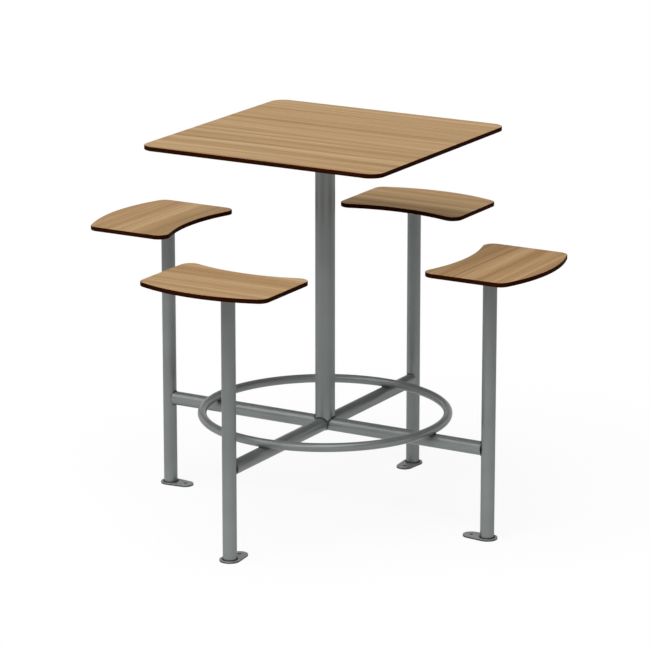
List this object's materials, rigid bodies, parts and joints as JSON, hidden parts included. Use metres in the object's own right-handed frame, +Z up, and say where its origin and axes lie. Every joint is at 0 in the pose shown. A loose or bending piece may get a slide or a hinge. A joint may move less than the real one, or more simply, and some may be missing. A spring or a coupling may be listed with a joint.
{
  "type": "table with attached swivel seats",
  "caption": "Square bar-height table on a centre column, with bow-edged seats that swivel on posts joined to it by radial arms and a round footrest ring.",
  "frame": {"origin": "on the floor, on the axis of the centre column", "axes": "+Z up; +X towards the right seat and +Y towards the back seat, along the arms"},
  "size_m": [1.349, 1.349, 1.0515],
  "materials": {
    "wood_decor_laminate": "matte",
    "powder_coated_steel": "satin",
    "zinc_plated_steel": "satin",
    "stainless_steel": "satin",
    "spring_steel": "satin",
    "brass": "satin",
    "acetal": "satin"
  },
  "bodies": {
    "frame": {"table_top": "wood_decor_laminate", "column_top_plate": "powder_coated_steel", "table_screws": "stainless_steel", "table_inserts": "brass", "centre_column": "powder_coated_steel", "footrest_ring": "powder_coated_steel", "right_arm": "powder_coated_steel", "right_foot_plate": "powder_coated_steel", "right_seat_post": "powder_coated_steel", "right_bearing_sleeve": "zinc_plated_steel", "right_upper_bush": "acetal", "right_lower_bush": "acetal", "back_arm": "powder_coated_steel", "back_foot_plate": "powder_coated_steel", "back_seat_post": "powder_coated_steel", "back_bearing_sleeve": "zinc_plated_steel", "back_upper_bush": "acetal", "back_lower_bush": "acetal", "left_arm": "powder_coated_steel", "left_foot_plate": "powder_coated_steel", "left_seat_post": "powder_coated_steel", "left_bearing_sleeve": "zinc_plated_steel", "left_upper_bush": "acetal", "left_lower_bush": "acetal", "front_arm": "powder_coated_steel", "front_foot_plate": "powder_coated_steel", "front_seat_post": "powder_coated_steel", "front_bearing_sleeve": "zinc_plated_steel", "front_upper_bush": "acetal", "front_lower_bush": "acetal"},
    "right_seat": {"right_spindle": "zinc_plated_steel", "right_thrust_washer": "stainless_steel", "right_retaining_ring": "spring_steel", "right_seat_plate": "powder_coated_steel", "right_seat_panel": "wood_decor_laminate", "right_seat_screws": "stainless_steel", "right_seat_inserts": "brass"},
    "back_seat": {"back_spindle": "zinc_plated_steel", "back_thrust_washer": "stainless_steel", "back_retaining_ring": "spring_steel", "back_seat_plate": "powder_coated_steel", "back_seat_panel": "wood_decor_laminate", "back_seat_screws": "stainless_steel", "back_seat_inserts": "brass"},
    "left_seat": {"left_spindle": "zinc_plated_steel", "left_thrust_washer": "stainless_steel", "left_retaining_ring": "spring_steel", "left_seat_plate": "powder_coated_steel", "left_seat_panel": "wood_decor_laminate", "left_seat_screws": "stainless_steel", "left_seat_inserts": "brass"},
    "front_seat": {"front_spindle": "zinc_plated_steel", "front_thrust_washer": "stainless_steel", "front_retaining_ring": "spring_steel", "front_seat_plate": "powder_coated_steel", "front_seat_panel": "wood_decor_laminate", "front_seat_screws": "stainless_steel", "front_seat_inserts": "brass"}
  },
  "joints": [
    {"name": "right_seat_swivel", "type": "hinge", "parent": "frame", "child": "right_seat", "pos_m": [0.5015, 0, 0.7415], "axis": [0, 0, 1], "continuous": true},
    {"name": "back_seat_swivel", "type": "hinge", "parent": "frame", "child": "back_seat", "pos_m": [0, 0.5015, 0.7415], "axis": [0, 0, 1], "continuous": true},
    {"name": "left_seat_swivel", "type": "hinge", "parent": "frame", "child": "left_seat", "pos_m": [-0.5015, 0, 0.7415], "axis": [0, 0, 1], "continuous": true},
    {"name": "front_seat_swivel", "type": "hinge", "parent": "frame", "child": "front_seat", "pos_m": [0, -0.5015, 0.7415], "axis": [0, 0, 1], "continuous": true}
  ]
}
